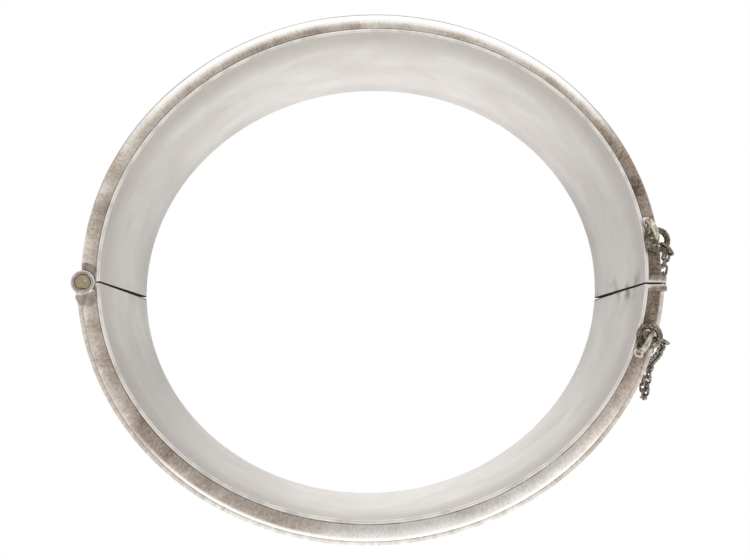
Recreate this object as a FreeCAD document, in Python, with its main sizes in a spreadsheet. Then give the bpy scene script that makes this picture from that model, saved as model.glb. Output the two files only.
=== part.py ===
"""Hinged bangle of two hollow halves, with a folded tongue clasp and a safety chain.

Frame: millimetres. The bangle stands on its lower edge at z = 0, with +Z up through the opening.
The origin is the middle of the oval opening. The hinge is on -X, the clasp on +X, the plain half
on +Y and the decorated half on -Y.
"""
import FreeCAD, Part
import math
import os

Vector = FreeCAD.Vector
Rotation = FreeCAD.Rotation
Placement = FreeCAD.Placement

UP = Vector(0, 0, 1)

SIZES = (
    # alias, value (mm or degrees), what it is
    ("opening_width", 60, "longest way across the oval opening"),
    ("opening_narrowing", 6, "how much shorter the oval is the other way"),
    ("lean", 5, "turn of the oval about Z"),
    ("rim_height", 20, "height of the upper rim"),
    ("lip", 0.15, "how far the lining stands proud of both rims"),
    ("wall", 2.05, "thickness of the hollow wall at the sides"),
    ("wall_extra", 0.25, "how much thicker the wall is at front and back"),
    ("wall_shift", 0.15, "how far the outside is moved towards the hinge"),
    ("dome", 0.5, "how far the outer face bulges at half its height"),
    ("sheet_thickness", 0.4, "skin and lining"),
    ("rim_thickness", 0.55, "flat sheets that close the wall above and below"),
    ("edge_round", 0.45, "rounding of the outer edges"),
    ("end_plate", 0.75, "plates that close each half at the seam"),
    ("clasp_stand", 0.45, "how far the clasp's end plates stand out of the wall"),
    ("seam_back", 1.6, "how far the seam lies in front of the middle"),
    ("seam_gap", 0.2, "gap between the halves"),
    ("border_width", 1.1, "half-round wire of the borders, along Z"),
    ("border_stand", 0.58, "how far the borders stand out of the face"),
    ("border_drop", 0.95, "from the rim to the middle of the border"),
    ("pin_offset", 1.87, "from the opening's side to the hinge axis"),
    ("pin_radius", 0.82, "hinge pin"),
    ("pin_clearance", 0.03, "round the pin, in every knuckle"),
    ("knuckle_radius", 1.33, "hinge knuckles"),
    ("knuckle_gap", 0.1, "between two knuckles"),
    ("knuckle_clearance", 0.08, "round the knuckles"),
    ("knuckle_web", 1.5, "width of the solder that joins a knuckle to its half"),
    ("slot_height", 7, "slot for the tongue, along Z"),
    ("slot_width", 1.05, "slot for the tongue, across the wall"),
    ("slot_wall", 0.45, "metal between the lining's inner face and the slot"),
    ("tongue_length", 7, "from the seam to the fold"),
    ("tongue_sheet", 0.18, "thickness of the folded strip"),
    ("tongue_clearance", 0.08, "between the tongue and the slot"),
    ("fold_gap", 0.03, "between the two leaves at the fold"),
    ("fold_width", 0.25, "sprung leaf at the fold, across the wall"),
    ("thumb_height", 2.4, "thumb press, along Z"),
    ("thumb_depth", 0.5, "thumb press, along Y"),
    ("thumb_reach", 0.8, "how far the thumb press stands out of the wall"),
    ("thumb_clearance", 0.12, "between the thumb press and its notch"),
    ("thumb_travel", 0.4, "room in the notch for the press to move in"),
    ("staple_wire", 0.32, "radius of the staple wire"),
    ("staple_span", 2.3, "between the middles of a staple's legs"),
    ("staple_leg", 0.35, "straight part of a leg"),
    ("staple_inset", 0.6, "from the lining to the staple's legs"),
    ("staple_twist", 10, "turn of the staples against the rim"),
    ("back_staple_angle", 3, "place of the back staple on the oval"),
    ("front_staple_angle", -22.6, "place of the front staple on the oval"),
    ("ring_radius", 1.12, "jump rings, middle of the wire"),
    ("ring_wire", 0.33, "radius of the jump rings' wire"),
    ("ring_lift", 0.75, "from the rim up to a jump ring's middle"),
    ("back_ring_along", 1.1, "from the back staple to its ring's middle, along the rim"),
    ("back_ring_out", 0.3, "from the back staple to its ring's middle, outwards"),
    ("front_ring_along", 0.9, "from the front staple to its ring's middle, along the rim"),
    ("front_ring_out", 0.2, "from the front staple to its ring's middle, outwards"),
    ("back_hang", -40, "direction in which the back end link leaves its ring"),
    ("front_hang", -20, "direction in which the front end link leaves its ring"),
    ("end_link_pitch", 40, "how far the end links tip down"),
    ("end_link_reach", 0.9, "from a ring's wire to the first chain link's wire"),
    ("end_link_bend", 0.59, "end links, radius of the round ends"),
    ("end_link_straight", 0.74, "end links, length of the straight sides"),
    ("end_link_wire", 0.175, "end links, radius of the wire"),
    ("joining_bend", 0.49, "first and last chain link, radius of the round ends"),
    ("joining_straight", 0.65, "first and last chain link, length of the straight sides"),
    ("link_bend", 0.375, "chain links, radius of the round ends"),
    ("link_straight", 0.7, "chain links, length of the straight sides"),
    ("link_wire", 0.15, "chain links, radius of the wire"),
    ("joining_slack", 0.075, "from an end link's seat to the first link's wire"),
    ("joining_twist", 15, "turn of the first and last chain link about the chain"),
    ("chain_twist", 24, "turn of the other chain links about the chain"),
    ("hang_tilt", 76.8, "steepness of the plane in which the chain hangs"),
)

# Headings of the 22 chain pieces in their hanging plane, in degrees from the line that joins the
# two end links, down positive: one strand goes down to the turn, the other comes up again.
DOWN_STRAND = (93, 59, 41, 44, 54, 54, 48, 44, 53, 71, 70)
UP_STRAND = (31, -31, -92, -133, -132, -116, -101, -94, -94, -99, -110)

KNUCKLES = 5
DOME_SHARES = (0.3, 0.7)
EDGE_TURNS = (0, 45)
# Half-round section of the borders: shares of their width and of how far they stand out.
BORDER_PROFILE = ((-0.5, 0), (-0.3, 1), (0.3, 1), (0.5, 0))
LINK_SIDES = 6
LINK_STEPS = 3
RING_SIDES = 8
RING_STEPS = 10
ARCH_STEPS = 8

doc = FreeCAD.newDocument("bangle")
sheet = doc.addObject("Spreadsheet::Sheet", "sizes")
for row, (alias, number, meaning) in enumerate(SIZES, start=1):
    sheet.set("A%d" % row, meaning)
    sheet.set("B%d" % row, str(number))
    sheet.setAlias("B%d" % row, alias)
doc.recompute()


def size(alias):
    return float(sheet.get(alias))


# ---- expressions that several pieces share ----------------------------------------------------
INNER_LONG = "sizes.opening_width / 2"
INNER_SHORT = "(sizes.opening_width - sizes.opening_narrowing) / 2"
OUTER_LONG = INNER_LONG + " + sizes.wall"
OUTER_SHORT = INNER_SHORT + " + sizes.wall + sizes.wall_extra"
PIN_X = "-sizes.opening_width / 2 - sizes.pin_offset"
PIN_Y = "-sizes.seam_back"
TOTAL_HEIGHT = "sizes.rim_height + sizes.lip"
WALL_HEIGHT = "(sizes.rim_height - sizes.lip)"
MIDDLE_HEIGHT = "(sizes.rim_height + sizes.lip) / 2"
ROOM = "sizes.opening_width"
SLOT_X = INNER_LONG + " * cos(sizes.lean) + sizes.slot_wall"


# ---- building steps ---------------------------------------------------------------------------
def bind(thing, **formulas):
    for name, formula in formulas.items():
        thing.setExpression(name, formula)
    return thing


def place(thing, x="0", y="0", z="0", turn="0"):
    thing.setExpression("Placement", "placement(vector(%s; %s; %s); rotation(%s; 0; 0))"
                        % (x, y, z, turn))
    return thing


def oval(name, long_radius, short_radius, height="0", shift="0"):
    ring = doc.addObject("Part::Ellipse", name)
    bind(ring, MajorRadius=long_radius, MinorRadius=short_radius)
    return place(ring, x=shift, z=height, turn="sizes.lean")


def prism(name, outline, length):
    body = doc.addObject("Part::Extrusion", name)
    body.Base = outline
    body.DirMode = "Custom"
    body.Dir = UP
    body.Solid = True
    return bind(body, LengthFwd=length)


def box(name, length, width, height, x, y, z):
    block = doc.addObject("Part::Box", name)
    bind(block, Length=length, Width=width, Height=height)
    return place(block, x, y, z)


def cylinder(name, radius, height, x, y, z):
    rod = doc.addObject("Part::Cylinder", name)
    bind(rod, Radius=radius, Height=height)
    return place(rod, x, y, z)


def cut(name, base, tool):
    result = doc.addObject("Part::Cut", name)
    result.Base = base
    result.Tool = tool
    return result


def fuse(name, *shapes):
    result = doc.addObject("Part::MultiFuse", name)
    result.Shapes = list(shapes)
    return result


def common(name, *shapes):
    result = doc.addObject("Part::MultiCommon", name)
    result.Shapes = list(shapes)
    return result


nodes = []


def node(label, thing):
    """Mark an object as one of the bangle's pieces."""
    thing.Label = label
    nodes.append(thing)
    return thing


# ---- the hollow wall, before it is divided ----------------------------------------------------
def drum(name, levels):
    """A solid through ovals at several heights, each so far outside the wall's outer oval."""
    ovals = []
    for number, (height, outwards) in enumerate(levels):
        ovals.append(oval("%s_level%d" % (name, number), "%s + %s" % (OUTER_LONG, outwards),
                          "%s + %s" % (OUTER_SHORT, outwards), height, "-sizes.wall_shift"))
    solid = doc.addObject("Part::Loft", name)
    solid.Sections = ovals
    solid.Solid = True
    solid.Ruled = True
    return solid


def domed_levels():
    """Heights of the outer face between its rounded edges, and how far it bulges there."""
    levels = [("sizes.lip + sizes.edge_round", "0")]
    for share in DOME_SHARES:
        levels.append(("sizes.lip + %g * %s" % (share, WALL_HEIGHT),
                       "sizes.dome * %g" % (1 - (2 * share - 1) ** 2)))
    return levels + [("sizes.rim_height - sizes.edge_round", "0")]


def rounded_levels():
    """The same heights with the levels of the rounded edges below and above them."""
    below = []
    above = []
    for angle in EDGE_TURNS:
        inset = "-sizes.edge_round * (1 - sin(%g))" % angle
        rise = "sizes.edge_round * (1 - cos(%g))" % angle
        below.append(("sizes.lip + " + rise, inset))
        above.insert(0, ("sizes.rim_height - " + rise, inset))
    return below + domed_levels() + above


def core_levels():
    """The hollow behind the skin, which has the skin's thickness all over."""
    inset = "(-sizes.sheet_thickness)"
    levels = [(height, "%s + %s" % (inset, bulge)) for height, bulge in domed_levels()]
    return [("sizes.lip", inset)] + levels + [("sizes.rim_height", inset)]


outer = drum("outer_drum", rounded_levels())
skin_core = drum("skin_core", core_levels())
opening = prism("opening", oval("opening_oval", INNER_LONG, INNER_SHORT), TOTAL_HEIGHT)
lining_core = prism("lining_core",
                    oval("lining_oval", INNER_LONG + " + sizes.sheet_thickness",
                         INNER_SHORT + " + sizes.sheet_thickness"), TOTAL_HEIGHT)
wall_all = cut("wall_all", outer, opening)
rim_all = cut("rim_all", outer, lining_core)
lining_all = cut("lining_all", lining_core, opening)

hinge_well = cylinder("hinge_well", "sizes.knuckle_radius + sizes.knuckle_clearance",
                      "2 * sizes.rim_height", PIN_X, PIN_Y, "-sizes.rim_height / 2")
hinge_gutter = cylinder("hinge_gutter",
                        "sizes.knuckle_radius + sizes.knuckle_clearance + sizes.end_plate",
                        "2 * sizes.rim_height", PIN_X, PIN_Y, "-sizes.rim_height / 2")
upper_room = box("upper_room", "2 * " + ROOM, "2 * " + ROOM, "sizes.rim_height",
                 "-" + ROOM, "-" + ROOM, "sizes.rim_height - sizes.rim_thickness")
lower_room = box("lower_room", "2 * " + ROOM, "2 * " + ROOM, "sizes.lip + sizes.rim_thickness",
                 "-" + ROOM, "-" + ROOM, "0")
middle_room = box("middle_room", "2 * " + ROOM, "2 * " + ROOM,
                  WALL_HEIGHT + " - 2 * sizes.rim_thickness",
                  "-" + ROOM, "-" + ROOM, "sizes.lip + sizes.rim_thickness")


# ---- one half of the bangle -------------------------------------------------------------------
def half(side, plates_y, shells_y):
    """Lining, skin, rims and end plates of the half whose rooms begin at the given y."""
    shell_room = box(side + "_shell_room", "2 * " + ROOM, ROOM, "2 * sizes.rim_height",
                     "-" + ROOM, shells_y, "-sizes.rim_height / 2")
    plate_room = box(side + "_plate_room", "2 * " + ROOM, "sizes.end_plate",
                     "2 * sizes.rim_height", "-" + ROOM, plates_y, "-sizes.rim_height / 2")
    half_room = fuse(side + "_half_room", shell_room, plate_room)
    hinge_side = box(side + "_hinge_side", ROOM, "2 * " + ROOM, "2 * sizes.rim_height",
                     "-" + ROOM, "-" + ROOM, "-sizes.rim_height / 2")
    clasp_side = box(side + "_clasp_side", ROOM, "2 * " + ROOM, "2 * sizes.rim_height",
                     "0", "-" + ROOM, "-sizes.rim_height / 2")
    shells = cut(side + "_shells", shell_room, hinge_gutter)

    cover = common(side + "_cover", outer, shells, middle_room)
    node(side + "_outer_skin", cut(side + "_skin_piece", cover, skin_core))
    node(side + "_lining", common(side + "_lining_piece", lining_all, shells))
    node(side + "_rim_top", common(side + "_rim_top_piece", rim_all, shells, upper_room))
    node(side + "_rim_bottom", common(side + "_rim_bottom_piece", rim_all, shells, lower_room))

    gutter = common(side + "_gutter", hinge_gutter, half_room)
    hinge_end = common(side + "_hinge_end", wall_all, hinge_side,
                       fuse(side + "_hinge_plan", plate_room, gutter))
    node(side + "_hinge_plate", cut(side + "_hinge_plate_piece", hinge_end, hinge_well))
    flange = box(side + "_flange", "sizes.wall / 2 - sizes.wall_shift + sizes.clasp_stand",
                 "sizes.end_plate", WALL_HEIGHT, INNER_LONG + " + sizes.wall / 2", plates_y,
                 "sizes.lip")
    section = common(side + "_clasp_section", wall_all, clasp_side, plate_room)
    return fuse(side + "_clasp_end", section, flange), shells


BACK_FACE = "-sizes.seam_back + sizes.seam_gap / 2"
FRONT_FACE = "-sizes.seam_back - sizes.seam_gap / 2"
back_clasp_end = half("back", BACK_FACE, BACK_FACE + " + sizes.end_plate")[0]
front_clasp_end, front_shells = half("front", FRONT_FACE + " - sizes.end_plate",
                                     FRONT_FACE + " - sizes.end_plate - " + ROOM)

slot = box("slot", "sizes.slot_width", "4 * sizes.end_plate", "sizes.slot_height",
           SLOT_X, PIN_Y, MIDDLE_HEIGHT + " - sizes.slot_height / 2")
node("back_clasp_plate", cut("back_clasp_plate_piece", back_clasp_end, slot))


# ---- borders of the front half ----------------------------------------------------------------
def border(label, height):
    """Half-round wire laid along the front half's outer face."""
    levels = [("%s + %g * sizes.border_width" % (height, rise), "sizes.border_stand * %g" % stand)
              for rise, stand in BORDER_PROFILE]
    wire = drum(label + "_wire", levels)
    node(label, common(label + "_piece", cut(label + "_fitted", wire, outer), front_shells))


border("front_border_top", "sizes.rim_height - sizes.border_drop")
border("front_border_bottom", "sizes.lip + sizes.border_drop")


# ---- hinge ------------------------------------------------------------------------------------
def knuckle(number, web_y):
    """One knuckle with the solder that joins it to its half, which lies on the web_y side."""
    name = "knuckle%d" % number
    step = WALL_HEIGHT + " / %d" % KNUCKLES
    below = "0" if number == 0 else "sizes.knuckle_gap / 2"
    gaps = "sizes.knuckle_gap / 2" if number in (0, KNUCKLES - 1) else "sizes.knuckle_gap"
    floor = "sizes.lip + %d * %s + %s" % (number, step, below)
    tall = "%s - %s" % (step, gaps)
    barrel = cylinder(name + "_barrel", "sizes.knuckle_radius", tall, PIN_X, PIN_Y, floor)
    reach = cylinder(name + "_reach", "sizes.knuckle_radius + sizes.knuckle_clearance", tall,
                     PIN_X, PIN_Y, floor)
    web = box(name + "_web", "sizes.knuckle_web", "2 * sizes.knuckle_radius", tall,
              PIN_X + " - sizes.knuckle_web / 2", web_y, floor)
    bore = cylinder(name + "_bore", "sizes.pin_radius + sizes.pin_clearance", tall,
                    PIN_X, PIN_Y, floor)
    solid = fuse(name + "_solid", barrel, common(name + "_solder", web, reach))
    return cut(name, solid, bore)


def group(label, pieces):
    """Several separate solids that stay together in one node."""
    result = doc.addObject("Part::Compound", label + "_group")
    result.Links = pieces
    return node(label, result)


group("back_hinge_knuckles", [knuckle(number, PIN_Y) for number in range(1, KNUCKLES, 2)])
group("front_hinge_knuckles", [knuckle(number, PIN_Y + " - 2 * sizes.knuckle_radius")
                               for number in range(0, KNUCKLES, 2)])
node("hinge_pin", cylinder("pin", "sizes.pin_radius", WALL_HEIGHT, PIN_X, PIN_Y, "sizes.lip"))

# ---- clasp ------------------------------------------------------------------------------------
TONGUE_HEIGHT = "(sizes.slot_height - 2 * sizes.tongue_clearance)"
TONGUE_FLOOR = MIDDLE_HEIGHT + " - %s / 2" % TONGUE_HEIGHT
LEAF_X = SLOT_X + " + sizes.tongue_clearance"
SPRING_X = SLOT_X + " + sizes.slot_width - sizes.tongue_clearance - sizes.tongue_sheet"
THUMB_Y = FRONT_FACE + " - sizes.end_plate / 2 - sizes.thumb_depth / 2"
THUMB_END = (INNER_LONG + " * cos(sizes.lean) + sizes.wall + sizes.dome - sizes.wall_shift"
             " + sizes.thumb_reach")

node("clasp_tongue", box("tongue_leaf", "sizes.tongue_sheet", "sizes.tongue_length",
                         TONGUE_HEIGHT, LEAF_X, FRONT_FACE, TONGUE_FLOOR))


def spring():
    """Leaf that springs out from the fold, and ends under the thumb press."""
    sheet_metal = size("tongue_sheet")
    seam = -size("seam_back")
    slot_x = size("opening_width") / 2 * math.cos(math.radians(size("lean"))) + size("slot_wall")
    fold_x = slot_x + size("tongue_clearance") + sheet_metal + size("fold_gap")
    fold_y = seam - size("seam_gap") / 2 + size("tongue_length")
    end_x = slot_x + size("slot_width") - size("tongue_clearance")
    corners = (
        (fold_x, fold_y),
        (fold_x + size("fold_width"), fold_y),
        (end_x, seam),
        (end_x - sheet_metal, seam),
        (fold_x + size("fold_width") - sheet_metal, fold_y - sheet_metal),
        (fold_x, fold_y - sheet_metal),
    )
    points = [Vector(x, y, 0) for x, y in corners]
    outline = doc.addObject("Part::Feature", "spring_outline")
    outline.Shape = Part.Face(Part.makePolygon(points + points[:1]))
    bind(outline, **{"Placement.Base.z": TONGUE_FLOOR})
    folded = prism("spring_leaf", outline, TONGUE_HEIGHT)
    floor = MIDDLE_HEIGHT + " - sizes.thumb_height / 2"
    stem = box("thumb_stem", "sizes.tongue_sheet", "%s - (%s)" % (PIN_Y, THUMB_Y),
               "sizes.thumb_height", SPRING_X, THUMB_Y, floor)
    press = box("thumb_press", "%s - (%s)" % (THUMB_END, SPRING_X), "sizes.thumb_depth",
                "sizes.thumb_height", SPRING_X, THUMB_Y, floor)
    return fuse("spring_piece", folded, stem, press)


node("clasp_spring", spring())
notch = box("thumb_notch", ROOM, "sizes.end_plate", "sizes.thumb_height + 2 * sizes.thumb_clearance",
            SPRING_X + " - sizes.thumb_travel", FRONT_FACE + " - sizes.end_plate",
            MIDDLE_HEIGHT + " - sizes.thumb_height / 2 - sizes.thumb_clearance")
node("front_clasp_plate", cut("front_clasp_plate_piece", front_clasp_end, notch))


# ---- bent wire --------------------------------------------------------------------------------
def half_turn(middle, radius, first, steps):
    """Corners of a half turn of wire in the XY plane, anticlockwise from the first angle."""
    turns = [math.radians(first + 180 * number / steps) for number in range(steps + 1)]
    return [Vector(middle + radius * math.cos(turn), radius * math.sin(turn), 0)
            for turn in turns]


def bent_wire(name, corners, sides, wire_name, across):
    """Wire bent along the corners; across turns its section square to the first stretch."""
    path = doc.addObject("Part::Feature", name + "_path")
    path.Shape = Part.makePolygon(corners)
    section = doc.addObject("Part::RegularPolygon", name + "_section")
    section.Polygon = sides
    bind(section, Circumradius="sizes." + wire_name)
    section.Placement = Placement(corners[0], across)
    sweep = doc.addObject("Part::Sweep", name)
    sweep.Sections = [section]
    sweep.Spine = path
    sweep.Solid = True
    sweep.Frenet = False
    sweep.Transition = "Right corner"
    return sweep


def closed_wire(name, bend_name, straight, wire_name, sides, steps):
    """Oval of wire in the XY plane, long along X, with its middle at the origin."""
    bend = size(bend_name)
    corners = half_turn(straight / 2, bend, -90, steps) + half_turn(-straight / 2, bend, 90, steps)
    seam = (corners[0] + corners[-1]) * 0.5
    if straight == 0:
        corners = corners[:steps] + corners[steps + 1:]
        seam = (corners[0] + corners[1]) * 0.5
        corners = corners[1:]
    across = Rotation(UP, corners[0] - seam)
    return bent_wire(name, [seam] + corners + [seam], sides, wire_name, across)


def arch_wire():
    """A staple standing on the XY plane, with its legs along X."""
    reach = size("staple_span") / 2
    leg = Vector(0, 0, size("staple_leg"))
    upright = Rotation(Vector(1, 0, 0), 90)
    arch = [leg + upright.multVec(corner) for corner in half_turn(0, reach, 0, ARCH_STEPS)]
    corners = [arch[0] - leg] + arch + [arch[-1] - leg]
    return bent_wire("staple_arch", corners, RING_SIDES, "staple_wire", Rotation())


staple_arch = arch_wire()
ring_wire = closed_wire("ring_wire", "ring_radius", 0, "ring_wire", RING_SIDES, RING_STEPS)
end_link = closed_wire("end_link", "end_link_bend", size("end_link_straight"),
                       "end_link_wire", LINK_SIDES, LINK_STEPS)
joining_link = closed_wire("joining_link", "joining_bend", size("joining_straight"),
                           "link_wire", LINK_SIDES, LINK_STEPS)
chain_link = closed_wire("chain_link", "link_bend", size("link_straight"),
                         "link_wire", LINK_SIDES, LINK_STEPS)
doc.recompute()


def laid(label, *places):
    """A node of bent wires: each one a pattern, the place of its middle and its rotation."""
    solids = []
    for pattern, middle, rotation in places:
        solid = pattern.Shape.copy()
        solid.Placement = Placement(middle, rotation)
        solids.append(solid)
    piece = doc.addObject("Part::Feature", label + "_laid")
    piece.Shape = Part.makeCompound(solids)
    node(label, piece)


def frame(direction, flat_normal):
    """Rotation that lays a link's X along direction and its Z along flat_normal."""
    return Rotation(direction, flat_normal.cross(direction), flat_normal, "ZXY")


# ---- staples and jump rings -------------------------------------------------------------------
def rim_frame(angle_name):
    """Point on the upper rim where a staple stands, and the rim's direction there."""
    angle = math.radians(size(angle_name))
    inset = size("sheet_thickness") + size("staple_inset")
    long_radius = size("opening_width") / 2 + inset
    short_radius = (size("opening_width") - size("opening_narrowing")) / 2 + inset
    lean = Rotation(UP, size("lean"))
    point = lean.multVec(Vector(long_radius * math.cos(angle), short_radius * math.sin(angle), 0))
    along = lean.multVec(Vector(-long_radius * math.sin(angle), short_radius * math.cos(angle), 0))
    return point + UP * size("rim_height"), along.normalize()


def staple(label, angle_name, twist):
    """Arch of wire soldered to the rim with both its feet."""
    foot, along = rim_frame(angle_name)
    heading = math.degrees(math.atan2(along.y, along.x))
    laid(label, (staple_arch, foot, Rotation(UP, heading + twist)))


def ring_middle(angle_name, along_rim, out):
    """Middle of the jump ring that hangs in a staple."""
    foot, along = rim_frame(angle_name)
    return foot + along * along_rim + along.cross(UP) * out + UP * size("ring_lift")


back_ring = ring_middle("back_staple_angle", -size("back_ring_along"), size("back_ring_out"))
front_ring = ring_middle("front_staple_angle", size("front_ring_along"), size("front_ring_out"))
staple("back_staple", "back_staple_angle", size("staple_twist"))
staple("front_staple", "front_staple_angle", -size("staple_twist"))
laid("back_jump_ring", (ring_wire, back_ring, Rotation()))
laid("front_jump_ring", (ring_wire, front_ring, Rotation()))


# ---- end links --------------------------------------------------------------------------------
def hang_end_link(label, ring, turn_name):
    """End link that hooks round a jump ring's wire and tips down; returns its seat for a link."""
    around = Rotation(UP, size(turn_name))
    outwards = around.multVec(Vector(1, 0, 0))
    sideways = around.multVec(Vector(0, 1, 0))
    tipped = Rotation(sideways, size("end_link_pitch"))
    direction = tipped.multVec(outwards)
    hook = ring + outwards * size("ring_radius")
    middle = hook + direction * (size("end_link_reach") / 2)
    laid(label, (end_link, middle, frame(direction, sideways)))
    return hook + direction * size("end_link_reach")


start = hang_end_link("back_end_link", back_ring, "back_hang")
finish = hang_end_link("front_end_link", front_ring, "front_hang")

# ---- chain ------------------------------------------------------------------------------------
LINK_HALF = size("link_straight") / 2
LINK_REACH = LINK_HALF + size("link_bend")
PITCH = size("link_straight") + size("link_bend")
JOINING_HALF = size("joining_straight") / 2
JOINING_REACH = JOINING_HALF + size("joining_bend")
FIRST_LENGTH = size("joining_slack") + JOINING_REACH + JOINING_HALF
LAST_LENGTH = PITCH + 2 * JOINING_REACH
PAIR_LENGTH = 2 * PITCH

span = finish - start
across = Vector(span).normalize()
outside = across.cross(UP)
outside = outside if outside.x > 0 else -outside
tilt = math.radians(size("hang_tilt"))
downhill = outside * math.cos(tilt) - UP * math.sin(tilt)
flat_normal = across.cross(downhill)


def strand_steps(headings, lengths):
    return [(length, math.radians(heading)) for heading, length in zip(headings, lengths)]


def chord(steps):
    """Straight line from a strand's start to its end: its length and its heading."""
    along = sum(length * math.cos(heading) for length, heading in steps)
    down = sum(length * math.sin(heading) for length, heading in steps)
    return math.hypot(along, down), math.atan2(down, along)


def closed_headings():
    """Headings of all pieces, with each strand turned as a whole so that the chain closes."""
    down = strand_steps(DOWN_STRAND, [FIRST_LENGTH] + [PAIR_LENGTH] * (len(DOWN_STRAND) - 1))
    up = strand_steps(UP_STRAND, [PAIR_LENGTH] * (len(UP_STRAND) - 1) + [LAST_LENGTH])
    (down_length, down_heading), (up_length, up_heading) = chord(down), chord(up)
    width = span.Length
    start_angle = math.acos((down_length ** 2 + width ** 2 - up_length ** 2)
                            / (2 * down_length * width))
    end_angle = math.acos((up_length ** 2 + width ** 2 - down_length ** 2)
                          / (2 * up_length * width))
    steps = [(length, heading + start_angle - down_heading) for length, heading in down]
    steps += [(length, heading - end_angle - up_heading) for length, heading in up]
    return steps


def chain_piece(number, pivot, direction, inwards, count):
    """The links of one piece of the chain, laid from its pivot along its direction."""
    twist = Rotation(direction, size("chain_twist"))
    upright = twist.multiply(frame(direction, inwards))
    flat = twist.multiply(frame(direction, flat_normal))
    joining = Rotation(direction, size("joining_twist")).multiply(frame(direction, flat_normal))
    if number == 1:
        return [(joining_link, pivot + direction * (FIRST_LENGTH - JOINING_HALF), joining)]
    first = (chain_link, pivot + direction * LINK_REACH, upright)
    if number == count:
        return [first, (joining_link, pivot + direction * (LAST_LENGTH - JOINING_REACH), joining)]
    return [first, (chain_link, pivot + direction * (LINK_REACH + PITCH), flat)]


steps = closed_headings()
pivot = start
for number, (length, heading) in enumerate(steps, start=1):
    direction = across * math.cos(heading) + downhill * math.sin(heading)
    inwards = downhill * math.cos(heading) - across * math.sin(heading)
    laid("chain_%02d" % number, *chain_piece(number, pivot, direction, inwards, len(steps)))
    pivot = pivot + direction * length

# ---- checks and export ------------------------------------------------------------------------
doc.recompute()
for thing in doc.Objects:
    if "Invalid" in thing.State or "Error" in thing.State:
        raise RuntimeError("%s could not be built" % thing.Label)
os.makedirs("parts", exist_ok=True)
for piece in nodes:
    shape = piece.Shape
    if shape.isNull() or not shape.isValid() or shape.Volume <= 0:
        raise RuntimeError("%s has no sound solid" % piece.Label)
    shape.exportStep("parts/%s.step" % piece.Label)
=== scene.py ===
"""Looks of the hinged silver bangle: worn satin wall, chased front, tarnished chain, studio light.

Lengths are named in millimetres and turned into metres by MM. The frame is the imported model's:
origin in the middle of the oval opening, +X clasp, -X hinge, +Y plain half, +Z up.
"""
import math
import random

import bmesh
import bpy
import numpy as np
from mathutils import Euler, Matrix, Vector


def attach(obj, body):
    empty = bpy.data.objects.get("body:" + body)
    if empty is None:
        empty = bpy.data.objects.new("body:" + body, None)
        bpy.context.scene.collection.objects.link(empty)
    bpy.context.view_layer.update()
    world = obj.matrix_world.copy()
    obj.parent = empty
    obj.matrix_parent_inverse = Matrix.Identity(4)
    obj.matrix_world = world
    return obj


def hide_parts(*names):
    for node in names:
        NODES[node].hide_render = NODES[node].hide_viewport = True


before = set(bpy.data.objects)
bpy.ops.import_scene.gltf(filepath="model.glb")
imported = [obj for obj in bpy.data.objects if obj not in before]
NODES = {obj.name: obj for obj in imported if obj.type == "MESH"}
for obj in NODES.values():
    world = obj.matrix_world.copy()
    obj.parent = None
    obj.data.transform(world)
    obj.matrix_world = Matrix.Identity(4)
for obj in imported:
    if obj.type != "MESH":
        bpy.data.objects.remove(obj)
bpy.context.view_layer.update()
random.seed(7)

MM = 0.001
PER_METRE = 1000

# Sizes of the bangle in millimetres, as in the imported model.
OPENING_LONG, OPENING_SHORT = 30.0, 27.0
SHEET = 0.4
WALL_LONG, WALL_SHORT = 32.05, 29.3
WALL_SHIFT = -0.15
LEAN = math.radians(5)
LIP = 0.15
RIM_TOP = 20.0
RIM_BOTTOM = LIP
RIM_SHEET = 0.55
EDGE_ROUND = 0.45
DOME = 0.415
SEAM_Y = -1.6
SEAM_GAP = 0.2
END_PLATE = 0.75
PIN_X, PIN_Y = -31.87, SEAM_Y
GUTTER_RADIUS = 2.16
BORDER_DROP = 0.95
BORDER_STAND = 0.55
RING_RADIUS, RING_WIRE = 1.12, 0.33
STAPLE_REACH, STAPLE_LEG, STAPLE_WIRE, STAPLE_INSET = 1.15, 0.35, 0.32, 0.6
# Links: radius of the bends, straight length between them, radius of the wire.
END_LINK = (0.59, 0.74, 0.165)
JOINING_LINK = (0.49, 0.65, 0.142)
CHAIN_LINK = (0.375, 0.7, 0.142)
JOINING_LINK_WIDE = 1.15

# Sizes that only this scene has, in millimetres. RIM_FLAT and RIM_FALL are shares of RIM_FACE.
SEAM_SPREAD = 0.14
RIM_WAVES, LINING_WAVES = 0.008, 0.004
LINING_STAND = 0.012
RIM_CROWN, RIM_FACE = 0.09, 1.4
RIM_FLAT, RIM_FALL = 0.35, 0.65
BAY = 15.0
GROUND_DROP, RELIEF_RISE = 0.1, 0.22
REED_HALF, REED_FOOT, BEAD_PITCH = 0.55, 0.2, 0.95
SOLDER_FOOT, SOLDER_HIGH, HINGE_SOLDER_HIGH, SOLDER_SUNK = 0.6, 0.3, 0.1, 0.05

# How finely sweeps are drawn, half of a jump ring's saw cut in degrees, and from which angle an
# edge shows as an edge.
WALL_STEPS, SKIN_STEPS, CHASED_STEPS, REED_STEPS, RING_STEPS = 420, 300, 800, 1000, 64
SAW_CUT = 1.5
SHARP_FROM, BEVEL_FROM = math.radians(50), math.radians(40)


# ---- colours and nodes --------------------------------------------------------------------------
def tone(text):
    """Linear colour of an sRGB hex text."""
    parts = [int(text[i:i + 2], 16) / 255 for i in (1, 3, 5)]
    return tuple(p / 12.92 if p <= 0.04045 else ((p + 0.055) / 1.055) ** 2.4 for p in parts) + (1,)


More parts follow.
